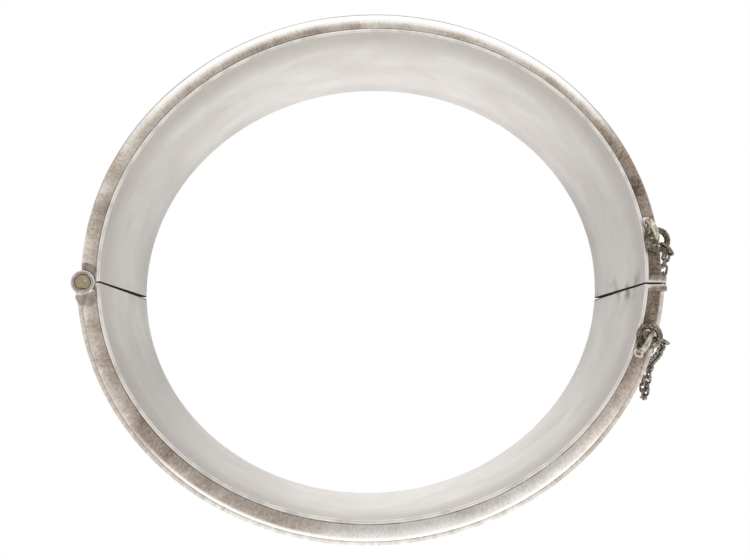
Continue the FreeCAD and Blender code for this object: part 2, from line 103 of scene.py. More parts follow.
class Shade:
    """The nodes of a material or of the world; add is the one function that makes a node."""

    # What these nodes always have here: smooth steps, and colours mixed into the colour output.
    USUAL = {"MapRange": {"interpolation_type": "SMOOTHSTEP"}, "Mix": {"data_type": "RGBA"}}
    USUAL_OUT = {"Mix": 2}

    def __init__(self, owner):
        owner.use_nodes = True
        self.owner, self.tree = owner, owner.node_tree

    def fill(self, node, *values, **named):
        """Link or set a node's inputs: its first ones in order, others by name (_ for a space)."""
        sockets = {socket.identifier.replace(" ", "_"): socket for socket in node.inputs}
        for key, value in {**dict(zip(sockets, values)), **named}.items():
            if isinstance(value, bpy.types.NodeSocket):
                self.tree.links.new(value, sockets[key])
            else:
                sockets[key].default_value = tone(value) if isinstance(value, str) else value

    def add(self, kind, *values, out=None, stops=(), **settings):
        """Add a node. Names with a capital are inputs, others are the node's own settings."""
        node = self.tree.nodes.new("ShaderNode" + kind)
        for key, value in {**self.USUAL.get(kind, {}), **settings}.items():
            if key[0].islower():
                setattr(node, key, value)
        self.fill(node, *values, **{k: v for k, v in settings.items() if k[0].isupper()})
        if stops:
            elements = node.color_ramp.elements
            while len(elements) < len(stops):
                elements.new(0.5)
            for element, (place, value) in zip(elements, stops):
                element.position = place
                element.color = tone(value) if isinstance(value, str) else (value,) * 3 + (1,)
        return node.outputs[self.USUAL_OUT.get(kind, 0) if out is None else out]

    def where(self, *masks):
        """Where all the masks hold: their product."""
        both = masks[0]
        for mask in masks[1:]:
            both = self.add("Math", both, mask, operation="MULTIPLY")
        return both

    def sum(self, start, *terms):
        """The start plus every (value, weight) pair's product."""
        for value, weight in terms:
            start = self.add("Math", value, weight, start, operation="MULTIPLY_ADD")
        return start

    def over(self, base, colour, amount, *masks):
        """A colour laid over the base, as strongly as amount, where all the masks hold."""
        return self.add("Mix", self.where(*masks, amount), A_Color=base, B_Color=colour)

    def metal(self, colour, rough, height, relief, strength):
        """Finish a metal; relief is the depth of its bumps in millimetres."""
        bumps = self.add("Bump", Height=height, Distance=relief * MM, Strength=strength)
        self.fill(self.tree.nodes["Principled BSDF"], Base_Color=colour, Metallic=1.0,
                  Roughness=rough, Normal=bumps)
        return self.owner


def new_material(name):
    return Shade(bpy.data.materials.new(name))


def own_sheet(shade, *stretch):
    """Place on a piece's own surface, in millimetres along and across, stretched if asked."""
    return shade.add("Mapping", shade.add("UVMap", uv_map="mm"), Scale=(*stretch, 1, 1)[:2] + (1,))


def rest_place(shade):
    """Place at rest, in millimetres."""
    return shade.add("Mapping", shade.add("TexCoord", out=3), Scale=(1 / MM,) * 3)


def from_seam(shade, depth):
    """Distance from the seam in millimetres."""
    return shade.add("Math", shade.add("Math", depth, SEAM_Y, operation="SUBTRACT"),
                     operation="ABSOLUTE")


# ---- materials ----------------------------------------------------------------------------------
# Every pattern lies in millimetres, so a Scale of 0.22 gives patches of about 1 / 0.22 = 4.5 mm.
# Real polishing grain is a few hundredths of a millimetre, far too fine to show. It is drawn 0.1
# to 1 mm coarse, and clouds and stains 1 mm and more, matched to the photograph. The
# MapRange steps on x, y and z are places on the bangle, in millimetres.
def worn_rim():
    """Sterling silver sheet, filed flat and worn satin.

    To the eye: brown-grey mottling, denser near the lining, a painted white highlight along the
    outer edge and over the back rim's outer half, with a painted grey shade line past it at the
    back.
    """
    s = new_material("rim_silver_worn_satin")
    flat = own_sheet(s)
    across = s.add("SeparateXYZ", flat, out=1)
    width, depth, high = s.add("SeparateXYZ", rest_place(s)).node.outputs
    back, front = s.add("MapRange", depth, 12.0, 25.0), s.add("MapRange", depth, -15.0, -25.0)
    lower = s.add("MapRange", depth, -9.0, -17.0)
    near_lining = s.add("MapRange", across, 1.0, 0.3)
    towards_hinge = s.add("MapRange", width, 12.0, -14.0)
    by_clasp = s.where(s.add("MapRange", width, 22.0, 29.0), s.add("MapRange", depth, -18.0, -9.0))
    cream = s.where(lower, s.add("MapRange", width, -10.0, 6.0))
    brown = s.where(lower, s.add("MapRange", width, -3.0, -10.0),
                    s.add("MapRange", width, -27.5, -24.5))
    pale = s.where(s.add("MapRange", width, -12.0, -22.0), s.add("MapRange", depth, 4.0, 14.0))
    patch = s.add("TexNoise", flat, Scale=0.22, Detail=4, Roughness=0.65, Distortion=0.6)
    grain = s.add("TexNoise", flat, Scale=3.4, Detail=6, Roughness=0.78, Distortion=0.3)
    bristle = s.add("TexNoise", own_sheet(s, 2.2, 0.6), Scale=1.6, Detail=5, Roughness=0.75,
                    Distortion=0.25)
    clouds = ((patch, 1.0), (grain, 0.95), (bristle, 0.55))
    # Tarnish shifted by place; the back term is a painted highlight that pales the back rim,
    # undone near the lining and towards the hinge.
    tarnish_and_highlight = s.sum(0.55 - 0.5 * sum(weight for _, weight in clouds), *clouds, (front, -0.27),
                  (by_clasp, 0.3), (brown, 0.24), (cream, -0.2), (pale, -0.14), (back, -0.72),
                  (s.where(back, near_lining), 0.58), (s.where(back, towards_hinge), 0.2))
    base = s.add("ValToRGB", tarnish_and_highlight, stops=((0.0, "#f6f3ee"), (0.3, "#dfd6cc"), (0.6, "#b7a99d"),
                                           (0.85, "#8f7f72"), (1.0, "#655548")))
    pits = s.add("TexVoronoi", flat, Scale=1.3, Randomness=1.0)
    pit = s.where(s.add("MapRange", pits, 0.12, 0.05), s.add("MapRange", patch, 0.48, 0.56))
    base = s.over(base, "#3d342e", 0.75, pit)
    broken = s.add("TexNoise", own_sheet(s, 0.5, 0.05), Scale=0.8, Detail=4, Roughness=0.6)
    dirt = s.sum(0.3, (s.add("MapRange", broken, 0.34, 0.62), 0.6))
    base = s.over(base, "#5d5358", 0.8, s.add("MapRange", across, 0.15, 0.04), dirt)
    # Painted highlight: near-white over the outer part of the back and front rims.
    painted_highlight = s.add("Math", s.where(s.add("MapRange", across, 0.7, 1.15), back),
                   s.where(s.add("MapRange", across, 1.1, 1.45), front), operation="MAXIMUM")
    base = s.over(base, "#fbf9f6", 0.95, painted_highlight)
    # Painted shade: a grey line along the back rim's outer edge.
    base = s.over(base, "#8f8b92", 0.85, s.add("MapRange", high, 19.88, 19.80),
                  s.add("MapRange", high, 19.3, 19.45), s.add("MapRange", depth, 2.0, 10.0))
    rough = s.sum(0.26, (s.add("MapRange", tarnish_and_highlight, 0.2, 0.9), 0.2))
    return s.metal(base, rough, s.sum(0.0, (tarnish_and_highlight, -0.6), (pit, -1.0)), 0.03, 0.6)


def rubbed_lining():
    """Sterling silver sheet, rolled smooth and rubbed by wear.

    To the eye: pale and soft, painted grey shade between hinge and front, faint lines round it, a
    beige band below the lip, dark smudges at the clasp's seam, a bright worn lip.
    """
    s = new_material("lining_silver_rubbed")
    flat = own_sheet(s)
    place = rest_place(s)
    width, depth, high = s.add("SeparateXYZ", place).node.outputs
    cloud = s.add("TexNoise", own_sheet(s, 0.6), Scale=0.16, Detail=4, Roughness=0.6,
                  Distortion=0.5)
    grain = s.add("TexNoise", own_sheet(s, 0.25, 5.0), Scale=1.2, Detail=6, Roughness=0.75)
    base = s.add("ValToRGB", cloud, stops=((0.3, "#d5d1cd"), (0.55, "#e0dddb"), (0.75, "#e8e6e4")))
    wave = s.add("TexNoise", own_sheet(s, 1, 0.2), Scale=0.12, Detail=3, Roughness=0.6)
    level = s.sum(-0.125, (s.add("SeparateXYZ", flat, out=1), 1 / RIM_TOP), (wave, 0.25))
    base = s.over(base, "#a09890", 0.5, s.add("ValToRGB", level, stops=((0.72, 0.0), (0.90, 1.0))),
                  s.add("ValToRGB", cloud, stops=((0.35, 0.35), (0.7, 1.0))))
    speck = s.add("TexNoise", flat, Scale=5.0, Detail=3, Roughness=0.6)
    base = s.over(base, "#81766c", 0.25,
                  s.add("ValToRGB", speck, stops=((0.27, 1.0), (0.33, 0.0))))
    # Painted shade: grey on the lining between hinge and front.
    base = s.over(base, "#a8a39d", 0.34, s.add("MapRange", width, -4.0, -14.0),
                  s.add("MapRange", depth, -5.0, -13.0))
    smudge = s.add("TexNoise", place, Scale=0.3, Detail=3, Roughness=0.6, Distortion=0.4)
    base = s.over(base, "#4f4740", 0.7, s.add("MapRange", from_seam(s, depth), 2.6, 0.3),
                  s.add("MapRange", width, 20.0, 26.0), s.add("MapRange", smudge, 0.50, 0.72))
    shine = s.add("TexNoise", own_sheet(s, 1, 0.02), Scale=0.35, Detail=3, Roughness=0.6)
    rubbed = s.sum(0.1, (s.add("MapRange", shine, 0.35, 0.6), 0.45))
    base = s.over(base, "#fffaf0", rubbed, s.add("MapRange", high, RIM_TOP, RIM_TOP + 0.06))
    rough = s.sum(0.3, (grain, 0.2))
    return s.metal(base, rough, s.sum(0.0, (grain, 0.5), (cloud, 1.2)), 0.03, 0.5)


def plain_skin():
    """Sterling silver sheet, raised and satin polished.

    To the eye: soft clouds, and dark hairline scratches that cross it at a slant.
    """
    s = new_material("skin_silver_satin")
    flat = own_sheet(s)
    cloud = s.add("TexNoise", flat, Scale=0.2, Detail=4, Roughness=0.6, Distortion=0.4)
    along = s.add("TexNoise", own_sheet(s, 0.2, 6.0), Scale=1.6, Detail=6, Roughness=0.8)
    slant = s.add("Mapping", flat, Rotation=(0, 0, 0.9), Scale=(0.3, 8.0, 1))
    crossed = s.add("TexNoise", slant, Scale=1.3, Detail=5, Roughness=0.8)
    hair = s.add("ValToRGB", crossed, stops=((0.30, 1.0), (0.36, 0.0)))
    base = s.add("ValToRGB", cloud, stops=((0.25, "#c3bcb5"), (0.55, "#d2ccc6"), (0.8, "#dedad5")))
    base = s.over(base, "#857b73", 0.5, hair)
    return s.metal(base, s.sum(0.2, (along, 0.25)), s.sum(along, (hair, -0.6)), 0.03, 0.5)


def chased_skin():
    """Sterling silver sheet, chased with punches.

    To the eye: dark tarnish and punch marks in the ground, rubbed bright on the relief.
    """
    s = new_material("skin_silver_chased")
    flat = own_sheet(s)
    high = s.add("Attribute", attribute_name="relief", out=2)
    stipple = s.add("TexVoronoi", flat, Scale=4.5)
    ground = s.add("ValToRGB", high, stops=((0.25, 1.0), (0.6, 0.0)))
    cloud = s.add("TexNoise", flat, Scale=0.6, Detail=5, Roughness=0.7)
    base = s.add("ValToRGB", s.sum(0.0, (high, 0.7), (cloud, 0.3)),
                 stops=((0.2, "#7b7168"), (0.45, "#a69d94"), (0.62, "#cdc7c0"), (0.85, "#e9e6e1")))
    rough = s.add("ValToRGB", high, stops=((0.2, 0.55), (0.8, 0.25)))
    dents = s.sum(0.0, (s.where(stipple, ground), -1.0), (cloud, 0.2))
    return s.metal(base, rough, dents, 0.08, 0.8)


def border_silver():
    """Sterling silver half-round wire, drawn and cut into beads.

    To the eye: bright crests, grey broken grooves, mauve-brown towards hinge and clasp.
    """
    s = new_material("border_silver_reeded")
    flat = own_sheet(s)
    high = s.add("Attribute", attribute_name="relief", out=2)
    width = s.add("SeparateXYZ", rest_place(s))
    cloud = s.add("TexNoise", flat, Scale=0.8, Detail=5, Roughness=0.7)
    worn = s.add("TexNoise", own_sheet(s, 0.12, 0.05), Scale=1.0, Detail=3, Roughness=0.6)
    base = s.add("ValToRGB", cloud, stops=((0.3, "#c9c1b8"), (0.6, "#f1eeea")))
    base = s.over(base, "#766d66", 0.75, s.add("MapRange", high, 0.6, 0.2),
                  s.add("MapRange", worn, 0.3, 0.62))
    marks = s.add("TexNoise", own_sheet(s, 3.0, 0.9), Scale=1.0, Detail=5, Roughness=0.8,
                  Distortion=0.6)
    base = s.over(base, "#7f766e", 0.5, s.add("MapRange", marks, 0.56, 0.66),
                  s.add("MapRange", worn, 0.45, 0.6))
    mottle = s.add("TexNoise", flat, Scale=1.6, Detail=6, Roughness=0.75)
    mauve = s.add("ValToRGB", mottle, stops=((0.3, "#a3958a"), (0.5, "#c0b4aa"), (0.7, "#ded6cd")))
    to_the_side = s.add("Math", width, operation="ABSOLUTE")
    base = s.over(base, mauve, 0.85, s.add("MapRange", to_the_side, 14.0, 25.0))
    return s.metal(base, s.sum(0.2, (cloud, 0.3)), cloud, 0.03, 0.5)


def soldered_silver():
    """Silver solder, left as it ran round the staples' feet.

    To the eye: uneven light and dark grey, with small dark pits.
    """
    s = new_material("solder_silver_pitted")
    place = rest_place(s)
    cloud = s.add("TexNoise", place, Scale=0.9, Detail=5, Roughness=0.7, Distortion=0.5)
    pits = s.add("TexVoronoi", place, Scale=2.2)
    pit = s.add("ValToRGB", pits, stops=((0.08, 1.0), (0.2, 0.0)))
    base = s.add("ValToRGB", cloud, stops=((0.32, "#8b8077"), (0.5, "#c9c2bb"), (0.7, "#ebe7e3")))
    base = s.over(base, "#4d443d", 0.5, pit)
    return s.metal(base, s.sum(0.18, (cloud, 0.3)), s.sum(cloud, (pit, -0.6)), 0.06, 0.7)


def plate_silver(name, dark, middle, bright):
    """Sterling silver sheet, sawn and filed, for the end plates.

    To the eye: mottled like the rim, a glint along the seam, painted shade on faces in the gap.
    """
    s = new_material(name)
    place = rest_place(s)
    _, depth, high = s.add("SeparateXYZ", place).node.outputs
    off = from_seam(s, depth)
    cloud = s.add("TexNoise", place, Scale=1.3, Detail=5, Roughness=0.7, Distortion=0.4)
    base = s.add("ValToRGB", cloud, stops=((0.32, dark), (0.5, middle), (0.66, bright)))
    rubbed = s.add("ValToRGB", cloud, stops=((0.36, "#7b6e63"), (0.62, "#b3a69a")))
    base = s.over(base, rubbed, 0.85, s.add("MapRange", off, 0.42, 0.58))
    base = s.over(base, "#f8f5f0", 0.7, s.add("MapRange", off, 0.36, 0.26),
                  s.add("MapRange", high, 19.5, 19.9))
    # Painted shade: dark on the plate faces next to the seam, below the top, inside the gap.
    gap = s.where(s.add("MapRange", off, 0.42, 0.3), s.add("MapRange", high, 19.9, 19.3))
    painted_gap_shade = s.add("ValToRGB", cloud, stops=((0.35, "#2b2520"), (0.65, "#6a5e54")))
    base = s.over(base, painted_gap_shade, 0.9, gap)
    return s.metal(base, s.sum(0.28, (gap, 0.5)), cloud, 0.04, 0.5)


def knuckle_silver():
    """Sterling silver tube, soldered on and worn.

    To the eye: lilac-grey, a dark hairline round the pin, a worn ring with painted highlight,
    brown solder below.
    """
    s = new_material("knuckle_silver_worn")
    place = rest_place(s)
    from_pin = s.add("Mapping", place, Location=(-PIN_X, -PIN_Y, 0.0))
    across, along, _ = s.add("SeparateXYZ", from_pin).node.outputs
    away = s.add("Math", s.sum(s.where(across, across), (along, along)), operation="SQRT")
    cloud = s.add("TexNoise", place, Scale=1.4, Detail=5, Roughness=0.7, Distortion=0.5)
    base = s.add("ValToRGB", cloud, stops=((0.3, "#96877c"), (0.5, "#b8aaa1"), (0.7, "#d6ccc4")))
    broken = s.add("TexNoise", place, Scale=0.9, Detail=2, Roughness=0.6)
    base = s.over(base, "#2b241e", 0.9, s.add("MapRange", away, 0.95, 0.86),
                  s.add("MapRange", broken, 0.36, 0.48))
    # Wear and painted highlight: a near-white ring round the knuckle's edge.
    base = s.over(base, "#efebe7", 0.7, s.add("MapRange", away, 1.1, 1.25),
                  s.add("MapRange", away, 1.5, 1.38))
    base = s.over(base, "#7d6b5d", 0.6, s.add("MapRange", along, -0.8, -1.4),
                  s.add("MapRange", cloud, 0.40, 0.62))
    return s.metal(base, s.sum(0.2, (cloud, 0.3)), cloud, 0.06, 0.7)


def tarnished_wire(name, dark, middle, bright):
    """Sterling silver wire, drawn and left to tarnish.

    To the eye: greenish-grey, with bright spots where links and rings rub.
    """
    s = new_material(name)
    place = rest_place(s)
    cloud = s.add("TexNoise", place, Scale=1.3, Detail=4, Roughness=0.7, Distortion=0.4)
    fine = s.add("TexNoise", place, Scale=7.0, Detail=4, Roughness=0.7)
    mixed = s.sum(0.0, (cloud, 0.6), (fine, 0.4))
    base = s.add("ValToRGB", mixed, stops=((0.36, dark), (0.5, middle), (0.66, bright)))
    rough = s.add("ValToRGB", mixed, stops=((0.35, 0.36), (0.7, 0.16)))
    return s.metal(base, rough, fine, 0.03, 0.6)


def rubbed_brass():
    """Brass rod, filed flush at the pin's end.

    To the eye: dull yellow-grey in soft patches, warmer than the silver round it.
    """
    s = new_material("pin_brass_rubbed")
    cloud = s.add("TexNoise", rest_place(s), Scale=1.5, Detail=5, Roughness=0.7)
    base = s.add("ValToRGB", cloud, stops=((0.3, "#8c7f64"), (0.55, "#b2a689"), (0.75, "#d2c9b2")))
    return s.metal(base, s.sum(0.22, (cloud, 0.3)), cloud, 0.03, 0.6)


def spring_sheet():
    """Hard-rolled sterling silver sheet of the clasp's tongue.

    To the eye: clean and brighter than the wall, with rolling lines along its length.
    """
    s = new_material("spring_silver_rolled")
    stretched = s.add("Mapping", rest_place(s), Scale=(0.2, 0.2, 6.0))
    lines = s.add("TexNoise", stretched, Scale=1.5, Detail=5, Roughness=0.7)
    base = s.add("ValToRGB", lines, stops=((0.3, "#a39b93"), (0.7, "#e2deda")))
    return s.metal(base, 0.3, lines, 0.03, 0.4)


RIM = worn_rim()
LINING = rubbed_lining()
SKIN = plain_skin()
CHASED = chased_skin()
BORDER = border_silver()
SOLDER = soldered_silver()
PLATE = plate_silver("plate_silver_smooth", "#85766a", "#b3a69a", "#f6f2ee")
HINGE_PLATE = plate_silver("plate_silver_tarnished", "#83776c", "#ada196", "#d3c9c0")
KNUCKLE = knuckle_silver()
WIRE = tarnished_wire("chain_silver_tarnished", "#332e28", "#746c62", "#cdc6ba")
RING = tarnished_wire("ring_silver_tarnished", "#2f2b23", "#6b6556", "#c0baa8")
STAPLE = tarnished_wire("staple_silver_rubbed", "#7c7462", "#b9b3a0", "#efece0")
BRASS = rubbed_brass()
SPRING = spring_sheet()


# ---- meshes -------------------------------------------------------------------------------------
def piece(name, points, faces, layout, material, body, replaced=(), relief=None):
    """A finished mesh piece: points and layout in millimetres, riding on its body."""
    mesh = bpy.data.meshes.new(name)
    mesh.from_pydata([tuple(MM * c for c in p) for p in points], [], faces)
    shape = bmesh.new()
    shape.from_mesh(mesh)
    bmesh.ops.recalc_face_normals(shape, faces=shape.faces)
    shape.to_mesh(mesh)
    shape.free()
    corners = np.empty(len(mesh.loops), dtype=np.int32)
    mesh.loops.foreach_get("vertex_index", corners)
    coords = mesh.uv_layers.new(name="mm")
    coords.data.foreach_set("uv", np.asarray(layout, dtype=np.float32)[corners].ravel())
    if relief is not None:
        mesh.attributes.new("relief", "FLOAT", "POINT").data.foreach_set("value", relief)
    mesh.materials.append(material)
    mesh.shade_smooth()
    mesh.set_sharp_from_angle(angle=SHARP_FROM)
    thing = bpy.data.objects.new(name, mesh)
    bpy.context.scene.collection.objects.link(thing)
    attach(thing, body)
    if replaced:
        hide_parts(*replaced)


def ring_faces(rings, sides, joined=False):
    """Faces over rings of points stored ring by ring, capped at both ends unless joined."""
    faces = []
    for i in range(rings if joined else rings - 1):
        here, after = i * sides, (i + 1) % rings * sides
        for j in range(sides):
            k = (j + 1) % sides
            faces.append((here + j, here + k, after + k, after + j))
    if not joined:
        faces.append(tuple(range(sides - 1, -1, -1)))
        faces.append(tuple((rings - 1) * sides + j for j in range(sides)))
    return faces


# ---- the oval wall ------------------------------------------------------------------------------
def wall_point(angle, share, offset):
    """Point of the wall seen from above: share 0 is the lining's outer face, 1 the outer face."""
    long_radius = OPENING_LONG + SHEET + share * (WALL_LONG - OPENING_LONG - SHEET)
    short_radius = OPENING_SHORT + SHEET + share * (WALL_SHORT - OPENING_SHORT - SHEET)
    x, y = long_radius * math.cos(angle), short_radius * math.sin(angle)
    nx, ny = x / long_radius ** 2, y / short_radius ** 2
    size = math.hypot(nx, ny)
    x, y = x + offset * nx / size, y + offset * ny / size
    c, s = math.cos(LEAN), math.sin(LEAN)
    return x * c - y * s + share * WALL_SHIFT, x * s + y * c


def in_half(point, half, gap):
    """True where a shell of the half may be: past the seam and, behind end plates, the hinge."""
    x, y = point
    away = half * (y - SEAM_Y) > gap
    return away and (gap < END_PLATE or math.hypot(x - PIN_X, y - PIN_Y) > GUTTER_RADIUS)


def ends(share, offset, half, gap=SEAM_GAP / 2 + END_PLATE):
    """First and last angle of a half's shells at the given place across the wall."""
    middle, past_seam, halvings = half * math.pi / 2, math.pi * 0.55, 40
    found = []
    for far in (middle - past_seam, middle + past_seam):
        inside, outside = middle, far
        for _ in range(halvings):
            angle = (inside + outside) / 2
            if in_half(wall_point(angle, share, offset), half, gap):
                inside = angle
            else:
                outside = angle
        found.append(inside)
    return found


def sweep(rows, half, steps, waves=0.0, to_seam=False):
    """Points, faces, layout of a section of rows (share, offset, z) swept along a half.

    A shell that goes to the seam covers the end plates; its seam opens a little downwards.
    Filing by hand leaves waves, 7 and 19 to a turn, about as high as the number given.
    """
    if to_seam:
        spans = [ends(share, offset, half, SEAM_GAP / 2 + SEAM_SPREAD * (1 - z / RIM_TOP))
                 for share, offset, z in rows]
    else:
        spans = [ends(share, offset, half) for share, offset, z in rows]
    across = [0.0]
    for (s0, o0, z0), (s1, o1, z1) in zip(rows, rows[1:]):
        wide = (s1 - s0) * (WALL_LONG - OPENING_LONG - SHEET) + o1 - o0
        across.append(across[-1] + math.hypot(wide, z1 - z0))
    points, layout = [], []
    for i in range(steps + 1):
        part = i / steps
        for (share, offset, z), (first, last), v in zip(rows, spans, across):
            angle = first + part * (last - first)
            sway = waves * (math.sin(7 * angle + 1.3) + 0.6 * math.sin(19 * angle))
            x, y = wall_point(angle, share, offset + sway * 0.4)
            points.append((x, y, z + sway))
            layout.append((angle * WALL_LONG, v))
    return points, ring_faces(steps + 1, len(rows)), layout


def quarter(steps, start=0):
    """Sine and cosine pairs from the starting angle to a quarter turn."""
    turns = [math.radians(start + (90 - start) * i / steps) for i in range(steps + 1)]
    return [(math.sin(turn), max(0.0, math.cos(turn))) for turn in turns]


def rim_rows(top, away):
    """Section of a rim: flat near the lining, falling a little, then the rounded outer edge."""
    rows = [(share, -EDGE_ROUND * share,
             top + away * RIM_CROWN * max(0.0, (share - RIM_FLAT) / RIM_FALL) ** 2)
            for share in (0.0, 0.12, 0.3, 0.45, 0.6, 0.75, 0.88, 1.0)]
    turn = math.degrees(math.atan(2 * RIM_CROWN / (RIM_FALL * RIM_FACE)))
    for sine, cosine in quarter(7, turn)[1:]:
        rows.append((1.0, -EDGE_ROUND * (1 - sine) / (1 - math.sin(math.radians(turn))),
                     top + away * (RIM_CROWN + (EDGE_ROUND - RIM_CROWN)
                                   * (1 - cosine / math.cos(math.radians(turn))))))
    return rows + [(share, 0.0, top + away * RIM_SHEET) for share in (1.0, 0.0)]


def lining_rows():
    """Section of the lining, a hair thicker than its sheet, with both its lips rounded over."""
    low, high, r = 0.01, RIM_TOP + LIP, SHEET * 0.35
    face, broken = -SHEET - LINING_STAND, r * 0.3
    rows = [(0.0, face, z) for z in (low + r, 5.0, 10.0, 15.0)]
    for sine, cosine in quarter(4):
        rows.append((0.0, face + r * (1 - cosine), high - r * (1 - sine)))
    rows += [(0.0, -r, high), (0.0, -broken, high - broken), (0.0, 0.0, high - r)]
    rows += [(0.0, 0.0, low + r), (0.0, -broken, low + broken), (0.0, -r, low)]
    return rows + [(0.0, -SHEET + r, low), (0.0, -SHEET + broken, low + broken)]


def bulge(z):
    """How far the outer face stands out at a height, a little flatter than a round arc."""
    share = (z - LIP) / (RIM_TOP - LIP)
    return DOME * (1 - abs(2 * share - 1) ** 2.5)


def skin_rows(count, low, high):
    """Section of an outer skin: its face from the top down, then its hidden side."""
    outside = [(1.0, bulge(low + (high - low) * i / count), low + (high - low) * i / count)
               for i in range(count, -1, -1)]
    return outside + [(1.0, -SHEET + bulge(z), z) for z in (low, high)]


def both_halves():
    """Linings, rims and the plain skin."""
    for name, half in (("back", 1), ("front", -1)):
        body = name + "_half"
        for part, top, away in (("rim_top", RIM_TOP, -1), ("rim_bottom", RIM_BOTTOM, 1)):
            points, faces, layout = sweep(rim_rows(top, away), half, WALL_STEPS, RIM_WAVES)
            node = "%s_%s" % (name, part)
            piece(node + "_worn", points, faces, layout, RIM, body, [node])
        points, faces, layout = sweep(lining_rows(), half, WALL_STEPS, LINING_WAVES, True)
        piece(name + "_lining_rubbed", points, faces, layout, LINING, body,
              [name + "_lining"])
    low, high = RIM_BOTTOM + RIM_SHEET, RIM_TOP - RIM_SHEET
    points, faces, layout = sweep(skin_rows(16, low, high), 1, SKIN_STEPS)
    piece("back_skin_satin", points, faces, layout, SKIN, "back_half",
          ["back_outer_skin"])


# ---- ornament of the front half -----------------------------------------------------------------
def scroll_lines():
    """Centre lines of one bay's scrollwork: lists of (along, up, half width), in millimetres."""
    wide, stem_high, curl_high, eye = 0.42, 3.6, 2.9, 0.5
    turns = np.linspace(0, 2 * math.pi, 80)
    lines = [[(BAY * t / (2 * math.pi), stem_high * math.sin(t), wide) for t in turns]]
    for side in (1, -1):
        middle = BAY * (0.25 if side > 0 else 0.75)
        curl = []
        for t in np.linspace(0, 1, 60):
            angle = side * (math.radians(-150) + t * math.radians(520))
            radius = 3.7 * (1 - t) ** 0.85 + eye
            curl.append((middle + radius * math.cos(angle),
                         -side * curl_high + radius * math.sin(angle), wide - 0.2 * t))
        lines.append(curl)
        # Three leaves on a stem: how they lean in degrees, how long they are, where they grow.
        for lean, reach, root in ((65, 3.4, -2.6), (100, 3.0, 0.2), (40, 3.2, 2.6)):
            leaf = []
            for t in np.linspace(0, 1, 14):
                bend = math.radians(lean + 35 * t) * side
                leaf.append((middle + root + reach * t * math.cos(bend),
                             side * 3.2 + reach * t * math.sin(bend),
                             0.62 * math.sin(math.pi * min(0.95, 0.15 + 0.85 * t)) + 0.05))
            lines.append(leaf)
        lines.append([(middle + 0.01 * i, -side * curl_high, 0.75) for i in range(2)])
    return lines


def relief_grid(along, up):
    """Height of the ornament, 0 in the ground and 1 on the crests, over a grid of the skin."""
    u, z = np.meshgrid(np.mod(along, BAY), up, indexing="ij")
    high = np.zeros_like(u)
    for line in scroll_lines():
        for (a0, b0, w0), (a1, b1, w1) in zip(line, line[1:]):
            for shift in (-BAY, 0.0, BAY):
                da, db = a1 - a0, b1 - b0
                size = max(da * da + db * db, 1e-9)
                t = np.clip(((u - a0 - shift) * da + (z - b0) * db) / size, 0, 1)
                gap = np.hypot(u - a0 - shift - t * da, z - b0 - t * db)
                width = w0 + t * (w1 - w0)
                high = np.maximum(high, np.sqrt(np.clip(1 - (gap / width) ** 2, 0, 1)))
    return high


def front_skin():
    """Domed outer face of the front half with its scrollwork, chased from the sheet."""
    low, high = RIM_BOTTOM + RIM_SHEET, RIM_TOP - RIM_SHEET
    levels = np.linspace(high, low, 100)
    spans = [ends(1.0, bulge(z), -1) for z in levels]
    first, last = spans[len(levels) // 2]
    along = (np.linspace(first, last, CHASED_STEPS + 1) - first) * WALL_LONG
    crest = relief_grid(along, levels - (low + high) / 2)
    points, layout, relief = [], [], []

    def put(i, span, offset, z, raised):
        start, stop = span
        x, y = wall_point(start + (stop - start) * i / CHASED_STEPS, 1.0, offset)
        points.append((x, y, z))
        layout.append((along[i], z))
        relief.append(raised)

    for i in range(CHASED_STEPS + 1):
        for span, z, raised in zip(spans, levels, crest[i]):
            put(i, span, bulge(z) - GROUND_DROP + RELIEF_RISE * raised, z, raised)
        for z in (low, high):
            put(i, spans[0], bulge(z) - SHEET, z, 0.0)
    piece("front_skin_chased", points, ring_faces(CHASED_STEPS + 1, len(levels) + 2), layout,
          CHASED, "front_half", ["front_outer_skin"], relief)


def reeded_border(name, height, way):
    """Border of two reeds; the one further from the rim is cut into beads."""
    count = 22
    first, last = ends(1.0, 0.3, -1)
    rises = [REED_HALF - 2 * REED_HALF * j / count for j in range(count + 1)]
    points, layout, relief = [], [], []

    def put(angle, rise, offset, raised):
        z = height + way * rise
        x, y = wall_point(angle, 1.0, offset(bulge(z)))
        points.append((x, y, z))
        layout.append(((angle - first) * WALL_LONG, rise))
        relief.append(raised)

    for i in range(REED_STEPS + 1):
        angle = first + (last - first) * i / REED_STEPS
        bead = 0.5 + 0.5 * math.cos(2 * math.pi * ((angle - first) * WALL_LONG) / BEAD_PITCH)
        for rise in rises:
            # Two round reeds, by the height of their middle and their half width.
            plain = math.sqrt(max(0.0, 1 - ((rise - 0.2) / 0.3) ** 2))
            cut = math.sqrt(max(0.0, 1 - ((rise + 0.28) / 0.24) ** 2)) * (0.45 + 0.55 * bead)
            stand = max(plain, 0.85 * cut, 0.12)
            put(angle, rise, lambda face: face + (BORDER_STAND - face) * stand,
                max(stand, 0.75) if rise > 0.25 else stand)
        for rise in (rises[-1], rises[0]):
            put(angle, rise, lambda face: face - REED_FOOT, 0.0)
    piece(name + "_reeds", points, ring_faces(REED_STEPS + 1, count + 3), layout, BORDER,
          "front_half", [name], relief)


# ---- wire: chain, rings, staples ----------------------------------------------------------------
def tube(path, radius, sides, closed, square=None):
    """Points, faces, layout of round wire along a path of vectors, in millimetres."""
    count = len(path)
    points, layout = [], []
    up = square or Vector((0, 0, 1))
    run = 0.0
    for i, spot in enumerate(path):
        before = path[i - 1] if closed or i > 0 else spot
        after = path[(i + 1) % count] if closed or i < count - 1 else spot
        ahead = (after - before).normalized()
        side = ahead.cross(up).normalized()
        other = side.cross(ahead)
        if i:
            run += (spot - path[i - 1]).length
        for k in range(sides):
            turn = 2 * math.pi * k / sides
            points.append(spot + side * (radius * math.cos(turn))
                          + other * (radius * math.sin(turn)))
            layout.append((run, radius * turn))
    return points, ring_faces(count, sides, closed), layout


